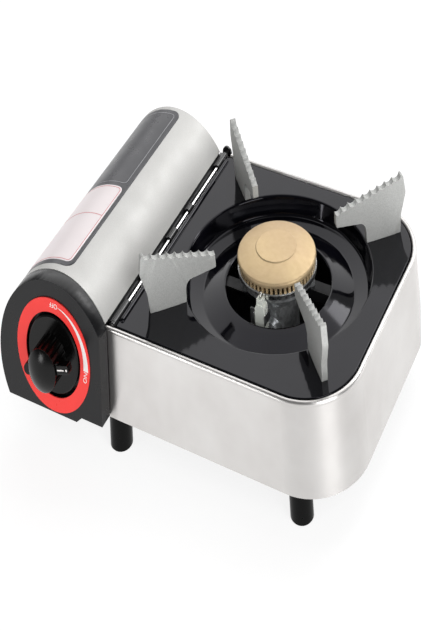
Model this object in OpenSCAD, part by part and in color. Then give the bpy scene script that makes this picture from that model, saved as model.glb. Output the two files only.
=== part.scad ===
// Butane cassette stove: stainless burner box with a round cartridge bay at its left.
// Millimetres. X runs right, Y runs back, Z runs up. The burner box's front left corner is the
// working origin; place() moves the stove to the middle of its footprint.

/* [Body] */
// Width of the stainless shell
shell_w = 212; // [200:1:230]
// Depth of the stainless shell
shell_d = 210; // [206:1:220]
// Height of the shell's lower edge above the table
shell_z0 = 24; // [20:1:30]
// Height of the shell's rim above the table
shell_z1 = 81; // [78:1:90]
// Radius of the two right-hand corners
corner_r = 50; // [30:1:60]
// Thickness of the sheet metal
sheet = 0.8; // [0.6:0.1:1.2]
// Radius of the rolled rim
bead_r = 1.8; // [1:0.1:2.5]
// How far the wall sits back under the rim
wall_in = 0.4; // [0.2:0.1:0.8]

/* [Burner] */
// Burner axis, from the shell's left edge
burner_x = 108; // [100:1:115]
// Burner axis, from the shell's front
burner_y = 109; // [100:1:115]
// Radius of the brass cap
cap_r = 34; // [28:1:38]
// Height of the cap's rim above the table
cap_z = 91; // [88:1:96]
// Radius of the recess in the top plate
recess_r = 81; // [74:1:84]
// Radius of the hole round the burner
hole_r = 45; // [43:0.5:50]
// Slots in the cap's skirt
cap_slots = 52; // [24:4:60]

/* [Pan supports] */
// Thickness of a support
arm_t = 5; // [4:0.5:6]
// Inner end of a support's top edge, from the burner's axis
arm_r0 = 55.5; // [50:0.5:60]
// Outer end of the toothed edge, from the burner's axis
arm_r1 = 117.5; // [110:0.5:122]
// Height of the toothed edge above the plate at its inner end
arm_z0 = 26.5; // [20:0.5:30]
// Height of the support's tip above the plate
arm_z1 = 38; // [30:1:42]
// Scallops along a support's top
scallops = 8; // [6:1:9]

/* [Cartridge bay] */
// Outer radius of the cover
cover_r = 54.5; // [52:0.5:58]
// Height of the cover's centre line
cover_z = 51; // [48:1:54]
// Distance from the shell's left edge to the centre line of cover and knob
bay_x = 43; // [41:1:46]
// Height of the knob's and cartridge's axis
knob_z = 59; // [58:1:61]
// Length of the cover
cover_l = 204.5; // [203:0.5:208]
// Depth of the black housing in front of the shell
housing_d = 12; // [10:0.5:16]

/* [Knob] */
// Outer radius of the red dial
dial_r = 36; // [32:1:40]
// Inner radius of the red dial
well_r = 27; // [24:1:29]
// Radius of the fluted barrel
barrel_r = 13.5; // [11:0.5:16]
// Height of the barrel's domed front
crown_h = 4.5; // [3:0.5:6]
// How far the knob stands out from the housing
knob_out = 22; // [18:1:26]
// Rest angle of the thumb wing
wing_a = 14; // [0:1:30]

/* [Hinge] */
// Hinge axis, from the shell's left edge
hinge_x = 6; // [5:0.5:8]
// Radius of the hinge rod
rod_r = 1.3; // [1:0.1:1.6]
// Outer radius of the knuckles
knuckle_r = 2.5; // [2.2:0.1:3]
// Running clearance of pins and shafts
run = 0.05; // [0.02:0.01:0.1]

/* [Feet] */
// Radius of a foot
foot_r = 9.2; // [7:0.1:11]

/* [Hidden] */
slip = 0.2;                                // clearance between pieces that stand side by side
W = shell_w;
D = shell_d;
Rc = corner_r;
// Levels
base_z = shell_z0 + slip + sheet;          // top of the base plate
base_in = wall_in + sheet + slip;          // base plate's edge, in from the shell's outside
rim_z = shell_z1 - bead_r;                 // centre of the rolled rim
plate_z = shell_z1 - 0.5;                  // top of the enamel plate
skirt_h = 9;                               // depth of the plate's turned-down edge
skirt_z = plate_z - skirt_h;
gap = 2 * bead_r + 1;                      // shell's outside to the plate's edge
plate_x0 = hinge_x + knuckle_r + 0.3;      // plate's left edge, beside the hinge
rib_r = 2.2;                               // rounded rib along that edge
// Bay
bx = -bay_x;                               // centre line of cover, knob and cartridge
cover_in = cover_r - sheet;
cover_y0 = 0.3;                            // front edge of the cover
cover_a0 = 35.5;                           // the cover's two edges, as angles about its centre line
cover_a1 = 203;
roll_r = 1.1;                              // rolled free edge of the cover
housing_y = -housing_d;                    // front face of the housing
housing_x1 = 3;                            // right edge of the housing
knob_y = housing_y - knob_out;             // front of the knob
hinge_z = shell_z1 - 1;
can_r = 33.5;                              // room for the cartridge
can_y0 = 17;
can_y1 = can_y0 + 185.5;
shield_x = 10;                             // partition between burner box and bay
// Mixing tube
tube_r = 6.5;
shutter_t = 0.9;                           // wall of the air shutter
tube_y = base_in + 0.6 + tube_r + shutter_t;
tube_z = 50;
// Places
arm_a = [225, 315, 135, 45];               // directions of the four supports
foot_at = [[4.5, 13.5], [W - 46.5, 19], [4.5, D - 13.5], [W - 46.5, D - 19]];
knuckles = [[6, 29], [56, 63], [99, 111], [133, 140], [189, D - 4]];
// Igniter cam
cam_r0 = 8;
cam_lift = 4;
cam_turn = 90;
plug_gap = 1.2;                            // nose centre above the cam's face
// Middle of the footprint
rod_end = D + 2;
x_min = bx - cover_r;
mid = [(x_min + W) / 2, (knob_y + rod_end) / 2];

// ---------- Helpers ----------
module place() translate([-mid[0], -mid[1], 0]) children();
module xcyl(y, z, r, x0, x1) translate([x0, y, z]) rotate([0, 90, 0]) cylinder(r = r, h = x1 - x0);
module ycyl(x, z, r, y0, y1) translate([x, y1, z]) rotate([90, 0, 0]) cylinder(r = r, h = y1 - y0);
module zcyl(x, y, r, z0, z1) translate([x, y, z0]) cylinder(r = r, h = z1 - z0);
module block(a, b) translate(a) cube(b - a);
// A front view, (x, z), carried from y0 back to y1
module yprism(y0, y1) translate([0, y1, 0]) rotate([90, 0, 0]) linear_extrude(y1 - y0) children();
// A body of revolution about the burner's axis, from an (r, z) outline
module turned() translate([burner_x, burner_y, 0]) rotate_extrude() children();
// Part of a ring between two angles
module sector(r0, r1, a0, a1) intersection() {
    difference() {
        circle(r1);
        circle(r0);
    }
    steps = 6;
    polygon(concat([[0, 0]],
        [for (i = [0:steps]) let (a = a0 + (a1 - a0) * i / steps) 2 * r1 * [cos(a), sin(a)]]));
}
// Points of a polyline whose inner corners are rounded
function unit(v) = v / norm(v);
function half_turn(a) = a > 180 ? a - 360 : a < -180 ? a + 360 : a;
function corner(a, b, c, r, n = 5) =
    let (u = unit(a - b), v = unit(c - b), h = acos(u * v) / 2,
         m = b + unit(u + v) * r / sin(h),
         s = b + u * r / tan(h) - m,
         e = b + v * r / tan(h) - m,
         a0 = atan2(s[1], s[0]),
         d = half_turn(atan2(e[1], e[0]) - a0))
    [for (i = [0:n]) m + r * [cos(a0 + d * i / n), sin(a0 + d * i / n)]];
function rounded(p, r) = concat([p[0]],
    [for (i = [1:len(p) - 2]) each (r[i] > 0 ? corner(p[i - 1], p[i], p[i + 1], r[i]) : [p[i]])],
    [p[len(p) - 1]]);
// The same line moved to its left by d
function shifted(p, d) = [for (i = [0:len(p) - 1])
    let (t = unit(p[min(i + 1, len(p) - 1)] - p[max(i - 1, 0)])) p[i] + d * [-t[1], t[0]]];
function flip(p) = [for (i = [len(p) - 1:-1:0]) p[i]];
// A bent sheet of thickness t seen edge on
module bent(line, t) polygon(concat(line, flip(shifted(line, t))));
// A round bar or pipe along straight runs joined by quarter bends of radius R
module straight(a, b, r) {
    u = unit(b - a);
    w = abs(u[2]) < 0.9 ? [0, 0, 1] : [1, 0, 0];
    x = unit(cross(w, u));
    y = cross(u, x);
    multmatrix([[x[0], y[0], u[0], a[0]], [x[1], y[1], u[1], a[1]],
        [x[2], y[2], u[2], a[2]], [0, 0, 0, 1]])
        cylinder(r = r, h = norm(b - a));
}
module quarter_bend(p, i, r, R) {
    u = unit(p[i] - p[i - 1]);
    v = unit(p[i + 1] - p[i]);
    w = cross(u, v);
    c = p[i] - R * u + R * v;
    multmatrix([[-v[0], u[0], w[0], c[0]], [-v[1], u[1], w[1], c[1]],
        [-v[2], u[2], w[2], c[2]], [0, 0, 0, 1]])
        rotate_extrude(angle = 90) translate([R, 0]) circle(r);
}
module run_of(p, r, R) {
    n = len(p) - 1;
    for (i = [0:n - 1]) {
        u = unit(p[i + 1] - p[i]);
        straight(p[i] + (i == 0 ? 0 : R) * u, p[i + 1] - (i == n - 1 ? 0 : R) * u, r);
    }
    for (i = [1:n - 1]) quarter_bend(p, i, r, R);
}
// Plan of the box, moved in by i, with its left edge at x0
module plan(i, x0) {
    translate([x0, i]) square([W - Rc - x0, D - 2 * i]);
    translate([x0, Rc]) square([W - i - x0, D - 2 * Rc]);
    for (y = [Rc, D - Rc]) translate([W - Rc, y]) circle(Rc - i);
}
// A round edge that follows the plan
module edge(i, z, r, x0) {
    for (y = [i, D - i]) xcyl(y, z, r, x0, W - Rc);
    ycyl(W - i, z, r, Rc, D - Rc);
    for (c = [[Rc, -90], [D - Rc, 0]]) translate([W - Rc, c[0], z]) rotate(c[1])
        rotate_extrude(angle = 90) translate([Rc - i, 0]) circle(r);
}
// A pan-head screw standing on its seat, with its shank of radius r going down by d
head_h = 1.8;
module screw(r, head_r, d) difference() {
    union() {
        cylinder(r = head_r, h = head_h - 0.7);
        translate([0, 0, head_h - 0.7]) cylinder(r1 = head_r, r2 = head_r * 0.6, h = 0.7);
        translate([0, 0, -d]) cylinder(r = r, h = d);
    }
    for (a = [0, 90]) rotate(a) translate([-head_r * 0.6, -0.3, head_h - 0.8]) cube([head_r * 1.2, 0.6, 1]);
}

// ---------- Burner box ----------
housing_screw_x = [bx - 26, bx + 8];
housing_screw_y = housing_y + 6;
housing_screw_r = 1.5;
foot_bolt_r = 2;
module base_plate() color([0.35, 0.35, 0.36]) place() difference() {
    bay_w = 42;                            // half width of the part under the bay
    tongue_w = 52;                         // part under the housing
    flange_h = 9;
    vent_r = 3;
    union() {
        translate([0, 0, base_z - sheet]) linear_extrude(sheet) {
            plan(base_in, slip);
            translate([bx - bay_w, 1]) square([bay_x + bay_w + 1, D - 8]);
            translate([bx - 36, housing_y + 3]) square([tongue_w, housing_d]);
        }
        translate([0, 0, base_z - sheet]) linear_extrude(flange_h) difference() {
            plan(base_in, shield_x + 12);
            plan(base_in + sheet, shield_x);
        }
    }
    for (f = foot_at) zcyl(f[0], f[1], foot_bolt_r + 0.1, 0, shell_z1);
    for (x = housing_screw_x) zcyl(x, housing_screw_y, housing_screw_r + 0.1, 0, shell_z1);
    for (p = bracket_screw_at) zcyl(p[0], p[1], bracket_screw_r + 0.1, 0, shell_z1);
    // Air holes under the burner
    for (i = [-3:3], j = [0:1]) zcyl(burner_x + 16 * i, burner_y - 43 - 20 * j, vent_r, 0, shell_z1);
}
module body_shell() color([0.8, 0.79, 0.77]) place() difference() {
    union() {
        translate([0, 0, shell_z0]) linear_extrude(rim_z - shell_z0) difference() {
            plan(wall_in, 0);
            plan(wall_in + sheet, -1);
        }
        edge(bead_r, rim_z, bead_r, 0);
    }
    // The hinge rod passes over the rear wall's end
    block([-1, D - 5, hinge_z - 2.4], [hinge_x + rear_ear_r + 0.4, D + 1, shell_z1 + 20]);
}
// Sheet line of the recess, from the plate down its wall and up again to the lip round the hole
function recess_line() = rounded(
    [[recess_r + 4, plate_z], [recess_r + 0.3, plate_z],
     [recess_r - 4, plate_z - 11.6], [recess_r - 16, plate_z - 13.6],
     [hole_r + 5.5, plate_z - 9], [hole_r + 0.4, plate_z - 7.6], [hole_r, plate_z - hole_lip]],
    [0, 1.8, 2.5, 3.5, 6, 1.6, 0]);
hole_lip = 10.3;                           // plate's top down to the hole's turned edge
tab_r0 = recess_r + 7;                     // tabs that hold the supports in the plate
tab_r1 = tab_r0 + 20;
module top_plate() color([0.16, 0.16, 0.17]) place() difference() {
    edge_r = sheet;
    union() {
        translate([0, 0, plate_z - sheet]) linear_extrude(sheet) difference() {
            plan(gap + edge_r, plate_x0 + edge_r);
            translate([burner_x, burner_y]) circle(recess_r + 3.5);
        }
        edge(gap + edge_r, plate_z - edge_r, edge_r, plate_x0 + edge_r);
        ycyl(plate_x0 + edge_r, plate_z - edge_r, edge_r, gap + edge_r, D - gap - edge_r);
        translate([0, 0, skirt_z]) linear_extrude(skirt_h - sheet) difference() {
            plan(gap, plate_x0);
            plan(gap + sheet, plate_x0 + sheet);
        }
        turned() bent(recess_line(), sheet);
        // Rounded rib beside the hinge
        translate([plate_x0 + rib_r, 0, plate_z - 0.5]) {
            ycyl(0, 0, rib_r, 12, D - 11);
            for (y = [12, D - 11]) translate([0, y, 0]) sphere(rib_r);
        }
    }
    for (a = arm_a) translate([burner_x, burner_y, 0]) rotate(a)
        block([tab_r0 - slip, -arm_t / 2 - slip, skirt_z], [tab_r1 + slip, arm_t / 2 + slip, shell_z1]);
}

// ---------- Pan supports ----------
arm_foot_z = 16.5;                         // underside of the arm where it reaches over the recess
arm_line = rounded(
    [[recess_r + 1, 0], [recess_r + 1, 13.6], [arm_r0 - 0.5, arm_foot_z], [arm_r0, arm_z0],
     [arm_r1 - 2, arm_z1 + 0.4], [arm_r1 + 2.8, arm_z1 + 0.4],
     [arm_r1 + 4, 26], [arm_r1 - 2.1, 12], [arm_r1 - 4, 0]],
    [0, 6, 1, 0.8, 0, 2, 5, 14, 0]);
// One support, standing at angle a
module pan_support(a) color([0.62, 0.63, 0.61]) place() translate([burner_x, burner_y, plate_z]) rotate(a)
    difference() {
        union() {
            rotate([90, 0, 0]) linear_extrude(arm_t, center = true) polygon(arm_line);
            // Tab that goes down through the plate
            block([tab_r0, -arm_t / 2, -6], [tab_r1, arm_t / 2, 1]);
        }
        // Row of scallops between the teeth; the first one cuts the inner end's corner off
        pitch = (arm_r1 - arm_r0 - 3.7) / (scallops + 0.25);
        slope = (arm_z1 - arm_z0) / (arm_r1 - arm_r0);
        scallop_r = 4.4;
        scallop_up = 2.1;
        for (i = [0:scallops]) {
            along = pitch * (i + 0.25);
            translate([arm_r0 + along, arm_t, arm_z0 + slope * along + scallop_up])
                rotate([90, 0, 0]) cylinder(r = scallop_r, h = 2 * arm_t);
        }
    }

// ---------- Burner ----------
dome_r = 109;                              // roundness of the cap's top
disc_r = 18;                               // raised disc in its middle
cap_skirt = 5.4;                           // cap's rim down to the skirt's lower edge
collar_h = 1.8;
head_z1 = cap_z - cap_skirt - collar_h;    // top of the cast bowl
function dome_z(r) = cap_z + 6.7 - r * r / 2 / dome_r;
module burner_cap() color([0.86, 0.75, 0.55]) place() difference() {
    skirt_out = cap_r - 1.6;
    skirt_in = cap_r - 7;
    slot_w = 2;
    slot_h = 3.5;
    turned() polygon(concat(
        [[0, dome_z(0) - 0.9], [disc_r - 0.8, dome_z(disc_r) + 0.6], [disc_r, dome_z(disc_r)]],
        [for (r = [disc_r + 2:2.4:cap_r - 2.5]) [r, dome_z(r)]],
        corner([cap_r - 3, dome_z(cap_r - 3)], [cap_r, dome_z(cap_r)], [cap_r, cap_z - 2], 1.6),
        corner([cap_r, cap_z], [cap_r, cap_z - 1.4], [cap_r - 2, cap_z - 1.6], 0.6),
        [[skirt_out, cap_z - 1.6], [skirt_out, cap_z - cap_skirt],
         [skirt_in, cap_z - cap_skirt], [skirt_in, cap_z - 1.5], [skirt_in - 2, cap_z + 1], [0, cap_z + 2]]));
    for (i = [0:cap_slots - 1]) translate([burner_x, burner_y, 0]) rotate(360 * i / cap_slots)
        block([skirt_in - 1, -slot_w / 2, head_z1], [cap_r + 1, slot_w / 2, head_z1 + collar_h + slot_h]);
}
module burner_collar() color([0.78, 0.78, 0.76]) place() turned()
    polygon([[cap_r - 8, head_z1], [cap_r - 8, head_z1 + collar_h], [cap_r - 0.6, head_z1 + collar_h],
        [cap_r, head_z1 + collar_h - 0.6], [cap_r, head_z1 - 1.4], [cap_r - 0.8, head_z1 - 1.4],
        [cap_r - 0.8, head_z1]]);
neck_r = 16;
bowl_r = cap_r - 2;
inlet_r = tube_r + 2.5;                    // boss that takes the mixing tube
neck_z = tube_z - inlet_r - 1;             // foot of the neck
lug_a = 28;                                // the two lugs that carry the head
lug_r = bowl_r - 5;
lug_z = plate_z - hole_lip - 0.5;
module burner_head() color([0.66, 0.67, 0.68]) place() difference() {
    wall = 4;
    neck_z1 = head_z1 - 15;
    union() {
        turned() polygon([[0, neck_z], [neck_r, neck_z], [neck_r, neck_z1 - 3], [neck_r + 2, neck_z1],
            [bowl_r - 2, head_z1 - 6.5], [bowl_r, head_z1 - 4.5], [bowl_r, head_z1], [0, head_z1]]);
        ycyl(burner_x, tube_z, inlet_r, burner_y - 22, burner_y);
        for (a = [lug_a, lug_a + 180]) translate([burner_x, burner_y, 0]) rotate(a)
            zcyl(lug_r, 0, 4.2, lug_z, head_z1 - 2.5);
    }
    turned() polygon([[0, tube_z], [neck_r - wall, tube_z], [neck_r - wall, neck_z1],
        [bowl_r - 2 * wall, head_z1 - 6.5], [bowl_r - 1.5 * wall, head_z1 - 4.5],
        [bowl_r - 1.5 * wall, head_z1 + 1], [0, head_z1 + 1]]);
    ycyl(burner_x, tube_z, tube_r + 0.1, burner_y - 23, burner_y - neck_r);
    ycyl(burner_x, tube_z, tube_r - 1, burner_y - neck_r - 1, burner_y);
    for (a = [lug_a, lug_a + 180]) translate([burner_x, burner_y, 0]) rotate(a)
        zcyl(lug_r, 0, bracket_screw_r + 0.05, lug_z - 1, lug_z + 4.5);
}
tube_x0 = -2;                              // open mouth of the mixing tube
tube_wall = 0.9;
tube_line = [[tube_x0, tube_y, tube_z], [burner_x, tube_y, tube_z],
    [burner_x, burner_y - neck_r - 1, tube_z]];
module mixing_tube() color([0.72, 0.72, 0.7]) place() difference() {
    bend_r = 24;
    run_of(tube_line, tube_r, bend_r);
    run_of([tube_line[0] - [1, 0, 0], tube_line[1], tube_line[2] + [0, 1, 0]], tube_r - tube_wall, bend_r);
    // Air inlets
    for (s = [-1, 1]) block([1, tube_y - 2.5, tube_z + s * 6 - 3], [6, tube_y + 2.5, tube_z + s * 6 + 3]);
}
module air_shutter() color([0.7, 0.7, 0.68]) place() difference() {
    xcyl(tube_y, tube_z, tube_r + shutter_t, -1, 7.5);
    xcyl(tube_y, tube_z, tube_r + 0.1, -2, 9);
    for (s = [-1, 1]) block([2.2, tube_y - 1.6, tube_z + s * 6 - 3], [5, tube_y + 1.6, tube_z + s * 6 + 3]);
}
// Two stamped brackets, one turned half round from the other, carry the head by its lugs
bracket_w = 10;
bracket_x = hole_r + 3;                    // their legs, from the burner's axis
bracket_screw_r = 1.6;
lug_at = lug_r * [cos(lug_a), sin(lug_a)];
foot_hole = [bracket_x - 8, lug_at[1]];
bracket_screw_at = [for (s = [-1, 1]) [burner_x, burner_y] + s * foot_hole];
module at_bracket(s) translate([burner_x, burner_y, 0]) rotate(s * 90 - 90) children();
module burner_bracket() color([0.7, 0.7, 0.68]) place() for (s = [-1, 1]) at_bracket(s) difference() {
    y0 = lug_at[1] - bracket_w / 2;
    y1 = lug_at[1] + bracket_w / 2;
    arm_x0 = lug_at[0] - 5;
    web_h = 7.5;
    union() {
        block([arm_x0, y0, lug_z - sheet], [bracket_x, y1, lug_z]);
        block([arm_x0, y0, lug_z - web_h], [bracket_x, y0 + sheet, lug_z]);
        block([bracket_x - sheet, y0, base_z], [bracket_x, y1, lug_z]);
        block([bracket_x - 13, y0, base_z], [bracket_x, y1, base_z + sheet]);
    }
    zcyl(lug_at[0], lug_at[1], bracket_screw_r + 0.1, lug_z - 2, lug_z + 1);
    zcyl(foot_hole[0], foot_hole[1], bracket_screw_r + 0.1, base_z - 1, base_z + 2);
}
module bracket_screws() color([0.75, 0.75, 0.74]) place() for (s = [-1, 1]) at_bracket(s) {
    translate([foot_hole[0], foot_hole[1], base_z + sheet]) screw(bracket_screw_r, 3, 2.2);
    translate([lug_at[0], lug_at[1], lug_z - sheet]) mirror([0, 0, 1]) screw(bracket_screw_r, 3, 4.8);
}

// ---------- Igniter ----------
spark = [burner_x + 2.5, burner_y - cap_r - 3.5];   // electrode's axis
spark_z = cap_z - 3.8;                     // height of its bent tip
pin_r = 0.8;
ceramic_w = 9.2;                           // wide part of the insulator
ceramic_d = 7;
lead_r = 1.2;
lead_z1 = tube_z + tube_r + lead_r + 0.3;  // lead where it crosses over the mixing tube
ceramic_z0 = lead_z1 + 3.7;
// Column round the insulator, larger by grow on every side
module ceramic_column(grow, z0, z1) translate([spark[0], spark[1], z0]) linear_extrude(z1 - z0)
    square([ceramic_w + 2 * grow, ceramic_d + 2 * grow], center = true);
module electrode_insulator() color([0.93, 0.93, 0.88]) place() difference() {
    half = ceramic_w / 2;
    neck = 2.8;
    top = spark_z - 1.6;
    shoulder = spark_z - 7.6;
    intersection() {
        yprism(spark[1] - ceramic_d / 2, spark[1] + ceramic_d / 2) translate([spark[0], 0]) polygon(
            [[-half, ceramic_z0], [half - 1.6, ceramic_z0], [half, ceramic_z0 + 3],
             [half, shoulder + 1.4], [neck + 0.4, shoulder + 2.2], [neck - 0.4, top], [1.2, top],
             [1.2, top - 1.1], [-1.2, top - 1.1], [-1.2, top], [0.4 - neck, top], [-neck, shoulder + 1.8],
             [-half, shoulder - 0.8]]);
        zcyl(spark[0], spark[1], half + 0.9, ceramic_z0 - 1, top + 1);
    }
    // The upper part is as thin as it is wide
    for (s = [-1, 1]) translate([spark[0], spark[1] + s * (neck + 5), shoulder + 9])
        cube([2 * ceramic_w, 10, 14], center = true);
    zcyl(spark[0], spark[1], pin_r + 0.1, ceramic_z0 - 1, cap_z);
}
module electrode_pin() color([0.6, 0.6, 0.58]) place() run_of(
    [[spark[0], spark[1], ceramic_z0 + 2], [spark[0], spark[1], spark_z], [spark[0], spark[1] + 3, spark_z]],
    pin_r, 2 * pin_r);
clip_z1 = spark_z - 10.6;                  // spring clip that grips the insulator from behind
clip_z0 = clip_z1 - 6;
clip_ear = 4.6;
module electrode_clip() color([0.55, 0.55, 0.53]) place() difference() {
    ear_x = spark[0] - ceramic_w / 2 - sheet;
    foot_z = tube_z + 10;                  // clear of the boss on the neck
    union() {
        ceramic_column(sheet, clip_z0, clip_z1);
        // Crimped ear, a strap down from it and an arm back to the neck
        block([ear_x - clip_ear, spark[1] - sheet, clip_z0], [ear_x, spark[1] + sheet, clip_z1]);
        block([ear_x - clip_ear, spark[1] - sheet, foot_z], [ear_x - 0.6, spark[1], clip_z1]);
        block([ear_x - clip_ear, spark[1] - sheet, foot_z],
            [ear_x - 0.6, burner_y - neck_r / 2, foot_z + sheet]);
    }
    ceramic_column(0.02, 0, cap_z);
    zcyl(burner_x, burner_y, neck_r + 0.02, 0, cap_z);
    // Its front is open
    translate([spark[0] - ceramic_w / 2, spark[1] - ceramic_d, 0]) cube([ceramic_w, ceramic_d, cap_z]);
}
lead_z = 31;
lead_y = 12;
lead_x = spark[0] + 11;
piezo_x = bx - 43;
module ignition_lead() color([0.75, 0.75, 0.73]) place() run_of(
    [[spark[0], spark[1], ceramic_z0], [spark[0], spark[1], lead_z1],
     [lead_x, spark[1], lead_z1], [lead_x, spark[1], lead_z],
     [lead_x, lead_y, lead_z], [piezo_x + 6, lead_y, lead_z], [piezo_x + 6, -1, lead_z],
     [piezo_x + 6, -1, knob_z - 6]], lead_r, 3);
module piezo_body() color([0.9, 0.9, 0.86]) place() difference() {
    union() {
        block([piezo_x, -5.2, knob_z - 6], [piezo_x + 20, 3.2, knob_z + 6]);
        block([piezo_x + 20, -3.4, knob_z - 3.2], [piezo_x + 24, 1.2, knob_z + 3.2]);
    }
    block([piezo_x + 8, -2.8 - run, knob_z - 2 - run], [piezo_x + 25, 0.8 + run, knob_z + 2 + run]);
}
nose_x = bx - cam_r0 - plug_gap;
module piezo_plunger() color([0.85, 0.3, 0.25]) place() yprism(-2.8, 0.8) {
    translate([nose_x, knob_z]) circle(1);
    polygon([[nose_x, knob_z - 1], [nose_x, knob_z + 1], [nose_x - 2, knob_z + 2],
        [piezo_x + 13, knob_z + 2], [piezo_x + 13, knob_z - 2], [nose_x - 2, knob_z - 2]]);
}

// ---------- Gas train ----------
post_a = [45, 135, 225, 315];
post_r = 17;
post_at = [for (a = post_a) [bx + post_r * cos(a), knob_z + post_r * sin(a)]];
post_screw_r = 1.4;
reg_r = 20;
reg_y0 = 1.5;
reg_y1 = can_y0 - 5;
spindle_r = 4;
collar_r = 16.6;                           // bore that takes the cartridge's collar
magnet_t = 0.8;
magnet_r = collar_r - 1.6;
outlet_x = bx + 26;                        // end of the regulator's outlet
module at_knob(y) translate([bx, y, knob_z]) rotate([90, 0, 0]) children();
module regulator_body() color([0.7, 0.71, 0.72]) place() difference() {
    union() {
        ycyl(bx, knob_z, reg_r, reg_y0, reg_y1);
        xcyl(tube_y, tube_z, reg_y1 - tube_y - 0.1, bx + 12, outlet_x);
        // Boss of the diaphragm chamber
        zcyl(bx, 6.8, 5.2, knob_z + 15, knob_z + 23);
    }
    ycyl(bx, knob_z, spindle_r + run, 0, 6);
    ycyl(bx, knob_z, 2.2, 5, reg_y1 + 1);
    for (p = post_at) ycyl(p[0], p[1], post_screw_r + run, 0, 8);
    xcyl(tube_y, tube_z, 1.2, bx + 20, 0);
    ycyl(bx, knob_z, magnet_r, reg_y1 - magnet_t, reg_y1 + 1);
}
module regulator_cap() color([0.75, 0.75, 0.73]) place() {
    zcyl(bx, 6.8, 5.2, knob_z + 23, knob_z + 24);
    translate([bx, 6.8, knob_z + 24]) cylinder(r1 = 5.2, r2 = 3.8, h = 1.4);
}
module regulator_screws() color([0.75, 0.75, 0.74]) place() for (p = post_at)
    translate([p[0], housing_y + well_d, p[1]]) rotate([90, 0, 0]) screw(post_screw_r, 2.4, 12.5);
module cartridge_socket() color([0.75, 0.75, 0.74]) place() difference() {
    ycyl(bx, knob_z, reg_r, reg_y1, can_y0);
    ycyl(bx, knob_z, collar_r, reg_y1 - 1, can_y0 + 1);
}
module socket_magnet() color([0.25, 0.25, 0.26]) place() difference() {
    ycyl(bx, knob_z, magnet_r, reg_y1 - magnet_t, reg_y1);
    ycyl(bx, knob_z, 8, reg_y1 - 1, reg_y1 + 2);
}
module seal_ring() color([0.12, 0.12, 0.12]) place() difference() {
    ycyl(bx, knob_z, 4.6, reg_y1 - magnet_t, reg_y1);
    ycyl(bx, knob_z, 2.2, reg_y1 - 1, reg_y1 + 2);
}
module gas_jet() color([0.85, 0.72, 0.45]) place() difference() {
    translate([outlet_x, tube_y, tube_z]) rotate([0, 90, 0]) {
        cylinder(r = 4, h = 3, $fn = 6);
        translate([0, 0, 3]) cylinder(r = 2.4, h = 5);
        translate([0, 0, 8]) cylinder(r1 = 2.4, r2 = 1.2, h = 2.5);
    }
    xcyl(tube_y, tube_z, 0.5, outlet_x - 1, 0);
}
// Lift of the igniter cam with the turn of the knob, in the knob's own angle
function cam_at(t) = cam_r0 + cam_lift * t / cam_turn;
module valve_spindle() color([0.72, 0.72, 0.7]) place() {
    cam_y = 0.8;
    ycyl(bx, knob_z, spindle_r, knob_y + 9, 5.5);
    at_knob(cam_y) linear_extrude(4.3) polygon(concat(
        [for (t = [-6:3:96]) cam_at(t) * [cos(180 - t), sin(180 - t)]],
        [[0, cam_r0 + 2], [5, 4], [6, 0], [5, -4], [0, -6]]));
}

// ---------- Knob and dial ----------
crown_r = (barrel_r * barrel_r + crown_h * crown_h) / (2 * crown_h);   // sphere of the knob's front
crown_rim = 1;                             // plain rim between flutes and dome
barrel_l = knob_out - crown_h - crown_rim;
module wing(l0, l1, w) {
    translate([-l0, -w / 2]) square([l0 + l1, w]);
    translate([-l0, 0]) circle(w / 2);
    translate([l1, 0]) circle(w / 2);
}
module knob() color([0.07, 0.07, 0.07]) place() difference() {
    disc_out = well_r - 2.2;
    flutes = 18;
    union() {
        // Base disc in the well
        ycyl(bx, knob_z, disc_out, housing_y - 0.3, housing_y + 2.5);
        at_knob(housing_y - 0.3) cylinder(r1 = disc_out, r2 = disc_out - 1, h = 0.8);
        // Fluted barrel with a domed front
        at_knob(housing_y) linear_extrude(barrel_l) difference() {
            circle(barrel_r);
            for (i = [0:flutes - 1]) rotate((i + 0.5) * 360 / flutes)
                translate([barrel_r + 0.5, 0]) circle(1.3);
        }
        at_knob(housing_y - barrel_l) intersection() {
            cylinder(r = barrel_r, h = crown_rim + crown_h);
            translate([0, 0, crown_rim + crown_h - crown_r]) sphere(crown_r);
        }
        // Thumb wing across the front
        at_knob(housing_y - 7) rotate(wing_a) linear_extrude(barrel_l - 7.5) wing(16, 13, 7);
    }
    at_knob(housing_y + 3) cylinder(r = spindle_r + run, h = barrel_l + 1.5);
}
dial_t = 0.8;
well_d = 5;                                // depth of the well behind the dial
module dial_ring() color([0.9, 0.24, 0.22]) place() difference() {
    ycyl(bx, knob_z, dial_r, housing_y - dial_t, housing_y);
    ycyl(bx, knob_z, well_r, housing_y - 2, housing_y + 1);
}
step_z = [shell_z0 - 2.5, shell_z0 + 1.3]; // the two levels of the housing's lower edge
step_x = [bx + 21, bx + 26];
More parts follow.
